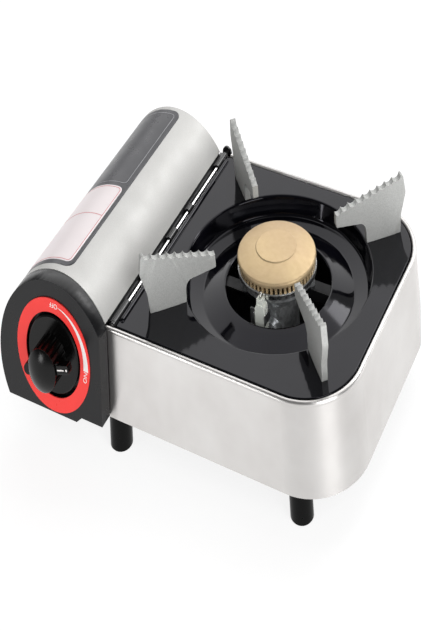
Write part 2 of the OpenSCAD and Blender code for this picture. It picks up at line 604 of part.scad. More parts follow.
// Front view of the housing, moved in by i
module arch(i) intersection() {
    translate([bx, cover_z]) circle(cover_r - i);
    polygon([[-200, step_z[0] + i], [step_x[0], step_z[0] + i], [step_x[1], step_z[1] + i],
        [housing_x1 - i, step_z[1] + i], [housing_x1 - i, 200], [-200, 200]]);
}
module knob_housing() color([0.13, 0.13, 0.13]) place() difference() {
    wall = 2;
    union() {
        yprism(housing_y, housing_y + wall) arch(0);
        difference() {
            yprism(housing_y + 1, -0.3) arch(0);
            yprism(housing_y, 1) arch(wall);
        }
        // Collar that the cover's front edge closes over
        yprism(-2, 5.5) at_bay() sector(cover_in - 2.6, cover_in - 1, 50, 183);
        // Well behind the dial, with posts that carry the regulator
        ycyl(bx, knob_z, well_r + 2.5, housing_y, housing_y + well_d + 1.5);
        for (p = post_at) ycyl(p[0], p[1], 2.4, housing_y + well_d, reg_y0);
        ycyl(piezo_x + 5, knob_z, 3, housing_y + 1, -5.2);
    }
    ycyl(bx, knob_z, well_r + 1, housing_y - 1, housing_y + well_d);
    ycyl(bx, knob_z, spindle_r + 0.4, housing_y, 0);
    for (p = post_at) ycyl(p[0], p[1], post_screw_r + run, housing_y, reg_y0 + 1);
    for (x = housing_screw_x) zcyl(x, housing_screw_y, housing_screw_r + 0.1, 0, base_z + 1);
}
module housing_screws() color([0.75, 0.75, 0.74]) place() for (x = housing_screw_x) {
    zcyl(x, housing_screw_y, housing_screw_r, step_z[0], base_z + 2);
    zcyl(x, housing_screw_y, 2 * housing_screw_r, step_z[0] - 1.3, step_z[0]);
}

// ---------- Cartridge bay ----------
stop_h = 16.5;                             // low rear stop, under the socket's line
module cartridge_tray() color([0.55, 0.55, 0.56]) place() {
    tray_r = cover_in - 2.4;
    floor_t = 0.4;
    tray_y1 = cover_l - sheet - slip;
    yprism(1, tray_y1) at_bay() sector(tray_r - sheet, tray_r, 187, 211);
    block([bx - 44, 1, base_z], [-1, tray_y1, base_z + floor_t]);
    yprism(can_y1 + 0.3, can_y1 + 0.3 + sheet) intersection() {
        at_bay() circle(tray_r);
        translate([bx - 77, base_z]) square([118, stop_h]);
    }
}
shield_z1 = skirt_z - 0.3;
module heat_shield() color([0.6, 0.6, 0.6]) place() difference() {
    slots = 7;                             // row of air slots, under the heat plate's tabs
    slot_l = 13;
    slot_h = 3.5;
    slot_pitch = 20;
    slot_y = (D - (slots - 1) * slot_pitch - slot_l) / 2;
    slot_z = shield_z1 - 16;
    union() {
        block([shield_x, 2, base_z], [shield_x + sheet, D - 2, shield_z1]);
        for (z = [base_z, shield_z1 - sheet]) block([shield_x, 2, z], [shield_x + 10, D - 2, z + sheet]);
        for (y = [2, D - 2 - sheet]) block([shield_x, y, base_z], [shield_x + 8, y + sheet, shield_z1]);
    }
    xcyl(tube_y, tube_z, tube_r + shutter_t + 0.5, 0, 30);
    xcyl(lead_y, lead_z, lead_r + 0.8, 0, 30);
    for (i = [0:slots - 1]) translate([shield_x - 1, slot_y + slot_pitch * i, slot_z])
        cube([sheet + 2, slot_l, slot_h]);
}
heat_x = bx + can_r + 0.3;
module heat_plate() color([0.75, 0.72, 0.68]) place() {
    heat_z1 = skirt_z - 1;
    heat_l = 90;
    heat_y = D / 2 - heat_l / 2;
    tab_w = 10;
    block([heat_x, heat_y, heat_z1 - 27], [heat_x + sheet, heat_y + heat_l, heat_z1]);
    for (y = [heat_y + 4, heat_y + heat_l - 4 - tab_w])
        block([heat_x, y, heat_z1 - sheet], [shield_x, y + tab_w, heat_z1]);
}

// ---------- Hinge and cover ----------
ear_y = 2 * bead_r + 0.3;                  // front ear, just behind the rim
ear_t = 1.6;
rear_ear_r = 4.6;
ear_z1 = skirt_z - 0.5;
wall_y = D - wall_in;                      // outside of the rear wall
rivet_r = 1.2;
front_rivets = [ear_y + 4.5, ear_y + 9];
front_rivet_z = ear_z1 - 5.5;
rear_rivets = [hinge_z - 23, hinge_z - 15];
module hinge_hole(y0, y1) ycyl(hinge_x, hinge_z, rod_r + 0.02, y0, y1);
module hinge_bracket_front() color([0.1, 0.1, 0.1]) place() difference() {
    union() {
        ycyl(hinge_x, hinge_z, knuckle_r, ear_y, ear_y + ear_t);
        block([hinge_x - knuckle_r, ear_y, ear_z1 - 10], [hinge_x + knuckle_r, ear_y + ear_t, hinge_z]);
        block([hinge_x - knuckle_r, ear_y, ear_z1 - 10], [shield_x, ear_y + ear_t, ear_z1]);
        block([shield_x - sheet, ear_y, ear_z1 - 10], [shield_x, ear_y + 12, ear_z1]);
    }
    hinge_hole(0, ear_y + 5);
    for (y = front_rivets) xcyl(y, front_rivet_z, rivet_r, shield_x - 2, shield_x + 1);
}
module hinge_bracket_rear() color([0.1, 0.1, 0.1]) place() difference() {
    union() {
        ycyl(hinge_x, hinge_z, rear_ear_r, wall_y, wall_y + ear_t);
        block([hinge_x - rear_ear_r, wall_y, hinge_z - 28], [hinge_x + rear_ear_r, wall_y + ear_t, hinge_z]);
    }
    hinge_hole(wall_y - 1, wall_y + 3);
    for (z = rear_rivets) ycyl(hinge_x, z, rivet_r, wall_y - 1, wall_y + 3);
}
module hinge_rivets() color([0.7, 0.7, 0.7]) place() {
    head_t = 0.4;
    for (z = rear_rivets) {
        ycyl(hinge_x, z, rivet_r, wall_y, wall_y + ear_t);
        ycyl(hinge_x, z, rivet_r + 1, wall_y + ear_t, wall_y + ear_t + head_t);
    }
    for (y = front_rivets) {
        xcyl(y, front_rivet_z, rivet_r, shield_x - sheet, shield_x);
        xcyl(y, front_rivet_z, rivet_r + 1, shield_x - sheet - head_t, shield_x - sheet);
    }
}
module hinge_rod() color([0.85, 0.85, 0.85]) place() ycyl(hinge_x, hinge_z, rod_r, ear_y, rod_end);
module at_bay() translate([bx, cover_z]) children();
module cartridge_cover() color([0.82, 0.82, 0.81]) place() {
    yprism(cover_y0, cover_l) at_bay() sector(cover_in, cover_r, cover_a0, cover_a1);
    // Rolled free edge
    roll_at = [bx, cover_z] + (cover_r - roll_r) * [cos(cover_a1), sin(cover_a1)];
    ycyl(roll_at[0], roll_at[1], roll_r, cover_y0, cover_l);
}
module cover_end() color([0.82, 0.82, 0.81]) place() yprism(cover_l - sheet, cover_l) intersection() {
    at_bay() circle(cover_in);
    translate([bx - 77, cover_z - 12]) square([bay_x + 76, 100]);
}
leaf_t = 0.8;
module cover_leaf() color([0.08, 0.08, 0.08]) place() difference() {
    knuckle_a = 29;                        // where the leaf meets the knuckles
    union() {
        yprism(knuckles[0][0], D - 7) at_bay() sector(cover_in - leaf_t, cover_in, knuckle_a, 46);
        for (k = knuckles) {
            ycyl(hinge_x, hinge_z, knuckle_r, k[0], k[1]);
            yprism(k[0], k[1]) polygon([
                [bx, cover_z] + (cover_in - leaf_t / 2) * [cos(knuckle_a + 1), sin(knuckle_a + 1)],
                [hinge_x, hinge_z - knuckle_r + 0.2], [hinge_x, hinge_z + knuckle_r - 0.4],
                [bx, cover_z] + (cover_in - leaf_t / 2) * [cos(cover_a0 - 1), sin(cover_a0 - 1)]]);
        }
    }
    ycyl(hinge_x, hinge_z, rod_r + run, 0, D);
}
pull_w = 30;                               // thumb tab at the middle of the cover's free edge
pull_y = (cover_l - pull_w) / 2;
module cover_pull() color([0.08, 0.08, 0.08]) place() yprism(pull_y, pull_y + pull_w) at_bay() {
    sector(cover_r, cover_r + leaf_t, cover_a1 - 13, cover_a1 + 1);
    rotate(cover_a1) translate([cover_r, -1]) square([3.4, 2]);
}

// ---------- Feet ----------
foot_pocket = 8;                           // depth of the screw's pocket from below
module foot(i) color([0.09, 0.09, 0.09]) place() translate([foot_at[i][0], foot_at[i][1], 0]) difference() {
    foot_h = base_z - sheet;
    union() {
        translate([0, 0, 0.6]) cylinder(r = foot_r, h = foot_h - 0.6);
        cylinder(r1 = foot_r - 0.6, r2 = foot_r, h = 0.6);
    }
    translate([0, 0, -1]) cylinder(r = foot_r / 2, h = foot_pocket + 1);
    cylinder(r = foot_bolt_r + 0.1, h = 2 * foot_h);
}
module foot_screws() color([0.75, 0.75, 0.74]) place() for (f = foot_at) translate([f[0], f[1], 0]) {
    translate([0, 0, foot_pocket - 1.6]) cylinder(r = 2 * foot_bolt_r, h = 1.6);
    translate([0, 0, foot_pocket]) cylinder(r = foot_bolt_r, h = base_z + 3 - foot_pocket);
    translate([0, 0, base_z]) cylinder(r = 2 * foot_bolt_r, h = 2.6, $fn = 6);
}

base_plate();
body_shell();
top_plate();
pan_support(arm_a[0]);  // pan_support_fl
pan_support(arm_a[1]);  // pan_support_fr
pan_support(arm_a[2]);  // pan_support_bl
pan_support(arm_a[3]);  // pan_support_br
burner_cap();
burner_collar();
burner_head();
mixing_tube();
air_shutter();
gas_jet();
burner_bracket();
bracket_screws();
electrode_insulator();
electrode_pin();
electrode_clip();
ignition_lead();
piezo_body();
piezo_plunger();
regulator_body();
regulator_cap();
regulator_screws();
cartridge_socket();
socket_magnet();
seal_ring();
valve_spindle();
knob();
dial_ring();
knob_housing();
housing_screws();
cartridge_tray();
heat_shield();
heat_plate();
hinge_bracket_front();
hinge_bracket_rear();
hinge_rivets();
hinge_rod();
cartridge_cover();
cover_end();
cover_leaf();
cover_pull();
foot(0);  // foot_fl
foot(1);  // foot_fr
foot(2);  // foot_bl
foot(3);  // foot_br
foot_screws();
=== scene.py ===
"""Looks of the butane cassette stove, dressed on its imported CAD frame, in the frame's own axes."""
import math

import bpy
import numpy as np
from mathutils import Matrix, Vector


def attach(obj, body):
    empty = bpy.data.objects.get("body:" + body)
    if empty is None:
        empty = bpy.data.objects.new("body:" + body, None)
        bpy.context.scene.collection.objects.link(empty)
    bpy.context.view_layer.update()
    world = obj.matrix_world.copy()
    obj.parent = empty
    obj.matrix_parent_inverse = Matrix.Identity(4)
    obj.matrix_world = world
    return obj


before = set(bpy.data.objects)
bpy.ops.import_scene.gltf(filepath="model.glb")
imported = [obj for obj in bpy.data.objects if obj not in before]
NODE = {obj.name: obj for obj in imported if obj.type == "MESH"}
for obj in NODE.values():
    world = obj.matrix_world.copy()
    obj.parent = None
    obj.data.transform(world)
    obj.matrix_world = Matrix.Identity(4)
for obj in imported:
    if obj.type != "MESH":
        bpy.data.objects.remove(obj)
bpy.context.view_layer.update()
SCENE = bpy.context.scene

# Places and sizes on the part in mm, from the burner box's front left corner, on the table
MID_X = 57.25  # the frame's origin
MID_Y = 89.0
BAY_X = -43.0  # centre line of cover, knob and dial
COVER_Z = 51.0  # middle and outside radius of the round cover
COVER_R = 54.5
KNOB_Z = 59.0  # axis of the knob and its dial
DIAL_Y = -12.8  # front face of the dial
DIAL_R = 32.3  # middle of the dial's marks
WING_TURN = 14  # turn of the thumb wing at rest, in degrees
WING_Y = -28.2  # front and back of the wing's pointer
WING_BACK_Y = -22.5

# Printed layers, in mm
FILM = 0.05  # thickness of a layer
GAP = 0.02  # between a layer and what it lies on, so that their faces don't meet
MARK_GAP = 0.03  # the same for the white marks on the dial and the knob


def place(x, y, z):
    """A point given in mm from the burner box's front left corner."""
    return Vector(((x - MID_X) / 1000, (y - MID_Y) / 1000, z / 1000))


def polar(r, angle):
    """A point at a radius and an angle in degrees, as two flat coordinates."""
    a = math.radians(angle)
    return r * math.cos(a), r * math.sin(a)


def direction(azimuth, elevation):
    """Where a camera or a lamp stands, seen from the stove: azimuth 0 is in front, 90 at its right."""
    a = math.radians(azimuth)
    e = math.radians(elevation)
    return Vector((math.sin(a) * math.cos(e), -math.cos(a) * math.cos(e), math.sin(e)))


def add(name, data):
    """A new object, linked into the scene."""
    new = bpy.data.objects.new(name, data)
    SCENE.collection.objects.link(new)
    return new


# ---------- Camera ----------
# The photograph is stretched upwards. Its picture plane leans against the line of sight, as on a
# view camera, so the camera's depth axis isn't square to its picture. The lens shift stays at nought.
SIGHT = (30.92, 33.64)  # azimuth and elevation of the camera, in degrees
PLANE = (28.04, -16.10)  # azimuth and elevation that the picture plane faces
ROLL = -3.90  # degrees
AIM = place(49.8, 90.0, 45.9)
DISTANCE = 2.027  # metres
LENS = 134.55  # focal length in mm
NEAR = 0.05  # nearest and farthest that the camera draws, in metres
FAR = 50


def camera_axes():
    """Directions of the picture's width and height and of the line of sight, as columns."""
    face = direction(*PLANE)
    level = Vector((0, 0, 1)).cross(face).normalized()
    rise = face.cross(level)
    roll = math.radians(ROLL)
    across = level * math.cos(roll) + rise * math.sin(roll)
    up = rise * math.cos(roll) - level * math.sin(roll)
    return np.array([across, up, direction(*SIGHT)]).T


def make_camera():
    """Two turns with unequal scales between them lean the picture plane."""
    outer, scales, inner = np.linalg.svd(camera_axes())
    if np.linalg.det(outer) < 0:
        outer[:, 2] *= -1
        inner[2] *= -1
    holder = add("camera_holder", None)
    holder.rotation_mode = "QUATERNION"
    holder.rotation_quaternion = Matrix(outer.tolist()).to_quaternion()
    holder.scale = scales.tolist()
    holder.location = AIM + DISTANCE * direction(*SIGHT)
    camera = add("camera", bpy.data.cameras.new("camera"))
    camera.parent = holder
    camera.rotation_mode = "QUATERNION"
    camera.rotation_quaternion = Matrix(inner.tolist()).to_quaternion()
    camera.data.lens = LENS
    camera.data.clip_start = NEAR
    camera.data.clip_end = FAR
    SCENE.camera = camera


make_camera()


# ---------- Light ----------
def make_world(horizon, sky, height):
    """Walls as pale as the floor at the horizon, which fade to a dim sky at some height in degrees."""
    world = bpy.data.worlds.new("studio")
    SCENE.world = world
    world.use_nodes = True
    nodes = world.node_tree.nodes
    link = world.node_tree.links.new
    parts = nodes.new("ShaderNodeSeparateXYZ")
    link(nodes.new("ShaderNodeTexCoord").outputs["Generated"], parts.inputs["Vector"])
    fade = nodes.new("ShaderNodeMapRange")
    fade.inputs["From Min"].default_value = 0
    fade.inputs["From Max"].default_value = math.sin(math.radians(height))
    fade.inputs["To Min"].default_value = horizon
    fade.inputs["To Max"].default_value = sky
    link(parts.outputs["Z"], fade.inputs["Value"])
    background = nodes["Background"]
    background.inputs["Color"].default_value = (1, 1, 1, 1)
    link(fade.outputs["Result"], background.inputs["Strength"])


def softbox(name, azimuth, elevation, distance, width, height, brightness):
    """A soft light that faces the stove, in metres. A brightness of 1 is as bright as white paper."""
    lamp = bpy.data.lights.new(name, "AREA")
    lamp.shape = "RECTANGLE"
    lamp.size = width
    lamp.size_y = height
    lamp.energy = brightness * math.pi * width * height
    light = add(name, lamp)
    toward = direction(azimuth, elevation)
    light.location = distance * toward
    light.rotation_euler = (-toward).to_track_quat("-Z", "Y").to_euler()


SCENE.view_settings.view_transform = "Standard"
make_world(horizon=0.9, sky=0.14, height=16)
softbox("back", azimuth=193, elevation=46, distance=2.0, width=2.9, height=2.2, brightness=1.75)
softbox("lamp", azimuth=164, elevation=44, distance=2.0, width=0.7, height=0.4, brightness=6.0)
softbox("backdrop", azimuth=136, elevation=5, distance=1.6, width=1.2, height=0.2, brightness=3.0)
softbox("key", azimuth=59, elevation=24, distance=1.5, width=0.7, height=1.2, brightness=5.0)
softbox("glint", azimuth=-26, elevation=13, distance=1.5, width=0.36, height=0.36, brightness=8.0)


# ---------- Materials ----------
NOISE_LOW = 0.3  # most values of a noise texture lie between these two
NOISE_HIGH = 0.7


class Shader:
    """A Principled material, with helpers that vary its inputs over the surface."""

    def __init__(self, name, colour, rough, metal=0.0, **plain):
        self.mat = bpy.data.materials.new(name)
        self.mat.use_nodes = True
        self.mat.diffuse_color = (*colour, 1)
        self.nodes = self.mat.node_tree.nodes
        self.link = self.mat.node_tree.links.new
        self.bsdf = self.nodes["Principled BSDF"]
        self.bsdf.inputs["Base Color"].default_value = (*colour, 1)
        self.bsdf.inputs["Roughness"].default_value = rough
        self.bsdf.inputs["Metallic"].default_value = metal
        for key, value in plain.items():
            self.bsdf.inputs[key.replace("_", " ")].default_value = value
        self.coords = self.nodes.new("ShaderNodeTexCoord").outputs["Object"]

    def noise(self, scale, detail=3.0, rough=0.5, stretch=(1, 1, 1), distort=0.0):
        """Clouds or grain; a larger scale is finer."""
        mapping = self.nodes.new("ShaderNodeMapping")
        mapping.inputs["Scale"].default_value = stretch
        self.link(self.coords, mapping.inputs["Vector"])
        noise = self.nodes.new("ShaderNodeTexNoise")
        noise.inputs["Scale"].default_value = scale
        noise.inputs["Detail"].default_value = detail
        noise.inputs["Roughness"].default_value = rough
        noise.inputs["Distortion"].default_value = distort
        self.link(mapping.outputs["Vector"], noise.inputs["Vector"])
        return noise.outputs["Fac"]

    def cells(self, scale):
        """Crystals with a value of their own each, as on zinc."""
        cells = self.nodes.new("ShaderNodeTexVoronoi")
        cells.inputs["Scale"].default_value = scale
        self.link(self.coords, cells.inputs["Vector"])
        return cells.outputs["Color"]

    def colour(self, value, dark, light, start=NOISE_LOW, end=NOISE_HIGH):
        """Base colour that runs from dark to light while the value goes from start to end."""
        ramp = self.nodes.new("ShaderNodeValToRGB")
        first, last = ramp.color_ramp.elements
        first.position = start
        first.color = (*dark, 1)
        last.position = end
        last.color = (*light, 1)
        self.link(value, ramp.inputs["Fac"])
        self.link(ramp.outputs["Color"], self.bsdf.inputs["Base Color"])

    def roughness(self, value, low, high):
        """Roughness that runs from low to high with a noise."""
        span = self.nodes.new("ShaderNodeMapRange")
        span.inputs["From Min"].default_value = NOISE_LOW
        span.inputs["From Max"].default_value = NOISE_HIGH
        span.inputs["To Min"].default_value = low
        span.inputs["To Max"].default_value = high
        self.link(value, span.inputs["Value"])
        self.link(span.outputs["Result"], self.bsdf.inputs["Roughness"])

    def bump(self, value, strength, depth):
        """Adds relief on top of what is there; depth is in mm."""
        bump = self.nodes.new("ShaderNodeBump")
        bump.inputs["Strength"].default_value = strength
        bump.inputs["Distance"].default_value = depth / 1000
        self.link(value, bump.inputs["Height"])
        normal = self.bsdf.inputs["Normal"]
        if normal.is_linked:
            self.link(normal.links[0].from_socket, bump.inputs["Normal"])
        self.link(bump.outputs["Normal"], normal)


def stainless():
    """Sheet brushed along its length, with cloudy patches."""
    s = Shader("stainless", (0.68, 0.66, 0.645), rough=0.34, metal=1.0,
               Anisotropic=0.8, Anisotropic_Rotation=0.25)
    s.colour(s.noise(22, rough=0.6), dark=(0.63, 0.61, 0.595), light=(0.71, 0.695, 0.68))
    lines = s.noise(1, detail=4, rough=0.65, stretch=(24, 24, 2600))
    s.roughness(lines, low=0.30, high=0.42)
    s.bump(lines, strength=0.25, depth=0.04)
    return s.mat


def enamel():
    """Black glass enamel, glossy and slightly uneven."""
    s = Shader("enamel", (0.002, 0.002, 0.003), rough=0.07,
               Specular_IOR_Level=0.2, Specular_Tint=(0.92, 0.91, 1.0, 1))
    s.colour(s.noise(60, detail=2), dark=(0.001, 0.001, 0.002), light=(0.003, 0.003, 0.005))
    s.roughness(s.noise(35), low=0.05, high=0.11)
    s.bump(s.noise(260, detail=2), strength=0.06, depth=0.1)
    return s.mat


def cast(name, light, dark, rough, metal, grain):
    """A sandy casting: fine grain in colour and relief, with larger waves under it."""
    s = Shader(name, light, rough, metal)
    fine = s.noise(grain, rough=0.7)
    s.colour(fine, dark, light, end=0.72)
    s.roughness(fine, low=rough - 0.1, high=rough + 0.12)
    s.bump(fine, strength=0.5, depth=0.3)
    s.bump(s.noise(grain / 4, detail=2), strength=0.2, depth=0.4)
    return s.mat


def brass():
    """Forged brass, blasted to a satin face."""
    s = Shader("brass_cap", (0.57, 0.42, 0.25), rough=0.56, metal=0.75)
    s.colour(s.noise(28, rough=0.6), dark=(0.57, 0.42, 0.26), light=(0.62, 0.475, 0.275))
    s.roughness(s.noise(300), low=0.5, high=0.62)
    s.bump(s.noise(900, detail=2), strength=0.12, depth=0.1)
    return s.mat


def die_cast():
    """The burner's bowl: a crinkled bright skin."""
    s = Shader("zinc", (0.6, 0.61, 0.61), rough=0.3, metal=0.8)
    lumps = s.noise(150, rough=0.6, distort=0.6)
    s.colour(lumps, dark=(0.34, 0.35, 0.36), light=(0.84, 0.86, 0.87))
    s.bump(lumps, strength=0.45, depth=1.0)
    return s.mat


def galvanised():
    """Sheet with the crystals of a zinc bath."""
    s = Shader("galvanised", (0.62, 0.63, 0.63), rough=0.35, metal=1.0)
    s.colour(s.cells(160), dark=(0.5, 0.51, 0.51), light=(0.72, 0.73, 0.73), start=0, end=1)
    s.roughness(s.noise(120, detail=2), low=0.28, high=0.45)
    s.bump(s.noise(500, detail=2), strength=0.08, depth=0.1)
    return s.mat


def silver_paint():
    """Metallic paint with fine flakes."""
    s = Shader("cover_silver", (0.56, 0.555, 0.54), rough=0.5, metal=0.4)
    flakes = s.noise(2600, detail=1)
    s.colour(flakes, dark=(0.51, 0.505, 0.49), light=(0.6, 0.595, 0.58))
    s.roughness(s.noise(60, detail=2), low=0.46, high=0.54)
    s.bump(flakes, strength=0.05, depth=0.05)
    return s.mat


def bright(name, colour, rough):
    """Plated or polished metal."""
    s = Shader(name, colour, rough, metal=1.0)
    s.roughness(s.noise(200), low=rough * 0.7, high=rough * 1.4)
    s.bump(s.noise(700, detail=2), strength=0.05, depth=0.1)
    return s.mat


def plastic(name, colour, rough, grain=1800, relief=0.1, vary=0.12, **plain):
    """Moulded, painted or printed surface: slight clouds in colour and gloss over a fine grain."""
    s = Shader(name, colour, rough, **plain)
    dark = [c * (1 - vary) for c in colour]
    light = [min(1, c * (1 + vary)) for c in colour]
    s.colour(s.noise(40), dark, light)
    s.roughness(s.noise(90), low=rough * 0.85, high=rough * 1.15)
    s.bump(s.noise(grain, detail=2), strength=relief, depth=0.1)
    return s.mat


def print_ink(name, colour, rough, vary, **plain):
    """A smooth printed layer of the label."""
    return plastic(name, colour, rough, grain=900, relief=0.02, vary=vary, **plain)


def dress(material, nodes):
    """Gives CAD nodes one material in place of the frame's own."""
    for name in nodes:
        slots = NODE[name].data.materials
        slots.clear()
        slots.append(material)


SUPPORTS = ["pan_support_fl", "pan_support_fr", "pan_support_bl", "pan_support_br"]
SHEETS = ["mixing_tube", "air_shutter", "heat_shield", "cartridge_tray", "heat_plate", "electrode_clip"]
PLATED = ["burner_collar", "bracket_screws", "regulator_screws", "housing_screws", "hinge_rivets",
          "foot_screws", "electrode_pin", "cartridge_socket", "valve_spindle"]
HINGE_BLACK = ["cover_leaf", "cover_pull", "hinge_bracket_front", "hinge_bracket_rear"]
FEET = ["foot_fl", "foot_fr", "foot_bl", "foot_br"]

# Metals, enamel and silver paint
dress(stainless(), ["body_shell"])
dress(enamel(), ["top_plate"])
dress(silver_paint(), ["cartridge_cover", "cover_end"])
dress(brass(), ["burner_cap"])
dress(die_cast(), ["burner_head"])
dress(galvanised(), SHEETS)
dress(cast("support", light=(0.62, 0.625, 0.61), dark=(0.40, 0.405, 0.395),
           rough=0.6, metal=0.55, grain=1500), SUPPORTS)
dress(cast("cast_alloy", light=(0.55, 0.56, 0.57), dark=(0.42, 0.43, 0.44),
           rough=0.45, metal=0.9, grain=900), ["regulator_body", "regulator_cap"])
dress(bright("plated", (0.74, 0.74, 0.72), rough=0.25), PLATED)
dress(bright("bright_steel", (0.9, 0.9, 0.9), rough=0.12), ["hinge_rod"])
dress(bright("jet_brass", (0.8, 0.62, 0.32), rough=0.2), ["gas_jet"])

# Plastics, rubber, ceramic and black paint
KNOB_BLACK = plastic("knob_black", (0.002, 0.002, 0.002), rough=0.2, grain=900, relief=0.03,
                     Specular_IOR_Level=0.25)
dress(KNOB_BLACK, ["knob"])
dress(plastic("dial_red", (0.95, 0.05, 0.043), rough=0.32, grain=1500, relief=0.03, vary=0.03,
              Specular_IOR_Level=0.3), ["dial_ring"])
dress(plastic("housing_black", (0.004, 0.004, 0.005), rough=0.3, grain=2600, relief=0.12,
              Specular_IOR_Level=0.36), ["knob_housing"])
dress(plastic("foot_rubber", (0.002, 0.002, 0.002), rough=0.3, grain=1500, relief=0.08,
              Specular_IOR_Level=0.12), FEET)
dress(plastic("hinge_black", (0.01, 0.01, 0.011), rough=0.22, grain=500, relief=0.05), HINGE_BLACK)
dress(plastic("base_paint", (0.02, 0.02, 0.022), rough=0.4, grain=1200), ["base_plate"])
dress(plastic("bracket_black", (0.006, 0.006, 0.007), rough=0.5, grain=1200,
              Specular_IOR_Level=0.15), ["burner_bracket"])
dress(plastic("ceramic", (0.86, 0.89, 0.82), rough=0.4, grain=600, relief=0.02, vary=0.04),
      ["electrode_insulator"])
dress(plastic("silicone_lead", (0.55, 0.55, 0.53), rough=0.5), ["ignition_lead"])
dress(plastic("white_plastic", (0.78, 0.78, 0.74), rough=0.4, vary=0.03), ["piezo_body"])
dress(plastic("plunger_red", (0.6, 0.06, 0.04), rough=0.4), ["piezo_plunger"])
dress(plastic("rubber", (0.02, 0.02, 0.02), rough=0.6), ["seal_ring"])
dress(plastic("ferrite", (0.05, 0.05, 0.055), rough=0.5, grain=800, relief=0.3), ["socket_magnet"])

# Print
WHITE_INK = plastic("white_ink", (0.9, 0.86, 0.84), rough=0.45, vary=0.02)
LABEL_DARK = print_ink("label_dark", (0.05, 0.05, 0.058), rough=0.3, vary=0.06, Specular_IOR_Level=0.35)
LABEL_LIGHT = print_ink("label_light", (0.97, 0.88, 0.89), rough=0.35, vary=0.02)
LABEL_RED = print_ink("label_red", (0.72, 0.22, 0.24), rough=0.4, vary=0.02)
LABEL_GREY = print_ink("label_grey", (0.42, 0.42, 0.44), rough=0.4, vary=0.02)


# ---------- Broken edges ----------
WELD = 1e-6  # points nearer than this are one point, in metres


def bevel_edges(piece, width, sharp):
    """A small bevel, with its width in mm, on edges that turn by more than some degrees."""
    bevel = piece.modifiers.new("edges", "BEVEL")
    bevel.width = width / 1000
    bevel.segments = 2
    bevel.limit_method = "ANGLE"
    bevel.angle_limit = math.radians(sharp)
    return bevel


def soften(names, width):
    """Breaks the sharp edges of CAD nodes; width is in mm."""
    for name in names:
        weld = NODE[name].modifiers.new("weld", "WELD")
        weld.merge_threshold = WELD
        bevel_edges(NODE[name], width, sharp=32).harden_normals = True


soften(SUPPORTS, width=0.5)
soften(["knob_housing"], width=0.6)
soften(["knob"], width=0.25)


# ---------- Printed label on the cover ----------
# A box on the cover is its right and left edge, in mm round the cover from the label's right edge,
# and its front and rear end.
LABEL_TURN = 82.5  # right edge of the label, degrees round the cover from the right-hand side
BORDER = 3.5  # dark strip beside, between and behind the label's two parts
LABEL = (0.0, 56.6, 6.5, 200.3)
PANEL = (BORDER, 53.0, 11.0, 99.5)  # the light panel at the front
DARK_PART = (PANEL[0], PANEL[1], PANEL[3] + BORDER, LABEL[3] - BORDER)  # the dark one behind it
LABEL_CORNER = 8
PANEL_CORNER = 5
LINE = 0.5  # width of the thin frames
GREY_INSET = 0.9  # from a panel's edge to its frame
RED_INSET = 1.4
DIVIDER = (PANEL[0] + RED_INSET, PANEL[1] - RED_INSET, 64.6, 65.2)
DIVIDER_CORNER = 0.25
PANEL_LIFT = 2 * FILM  # height of a layer's underside over the cover
LINE_LIFT = 3 * FILM + GAP

CORNER_STEPS = 8  # divisions of a corner and of a side of an outline
SIDE_STEPS = 24
COLUMNS = 28  # divisions of a patch round the cover and between its corners
ROWS = 12


def film(name, points, faces, material, body, smooth=True):
    """A printed layer that rides on a body: its underside is given, and it stands FILM above it."""
    mesh = bpy.data.meshes.new(name)
    mesh.from_pydata(points, [], faces)
    mesh.materials.append(material)
    for face in mesh.polygons:
        face.use_smooth = smooth
    piece = add(name, mesh)
    thick = piece.modifiers.new("thick", "SOLIDIFY")
    thick.thickness = FILM / 1000
    thick.offset = 1
    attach(piece, body)


def ring_faces(n):
    """Faces between two closed rows of n points."""
    return [(i, n + i, n + (i + 1) % n, (i + 1) % n) for i in range(n)]


def on_cover(s, y, lift):
    """A point on the cover: s is the way round in mm from the label's right edge."""
    t = math.radians(LABEL_TURN) + s / COVER_R
    r = COVER_R + lift
    return place(BAY_X + r * math.cos(t), y, COVER_Z + r * math.sin(t))


def between(a, b, n):
    """Points that divide the way from a to b, without its ends."""
    return [(a[0] + (b[0] - a[0]) * i / n, a[1] + (b[1] - a[1]) * i / n) for i in range(1, n)]


def round_corners(s0, s1, y0, y1, r):
    """Outline of a box with round corners, with as many points whatever its size."""
    centres = ((s1 - r, y0 + r), (s1 - r, y1 - r), (s0 + r, y1 - r), (s0 + r, y0 + r))
    points = []
    for quarter, (s, y) in enumerate(centres):
        arc = []
        for i in range(CORNER_STEPS + 1):
            ds, dy = polar(r, 90 * (quarter - 1) + 90 * i / CORNER_STEPS)
            arc.append((s + ds, y + dy))
        if points:
            points += between(points[-1], arc[0], SIDE_STEPS)
        points += arc
    points += between(points[-1], points[0], SIDE_STEPS)
    return points


def outline_film(name, box, r, inset, lift, material):
    """A thin line that runs round a box at some distance inside its edge."""
    s0, s1, y0, y1 = box
    points = []
    for d in (inset, inset + LINE):
        ring = round_corners(s0 + d, s1 - d, y0 + d, y1 - d, r - d)
        points += [on_cover(s, y, lift) for s, y in ring]
    film(name, points, ring_faces(len(ring)), material, "cover")


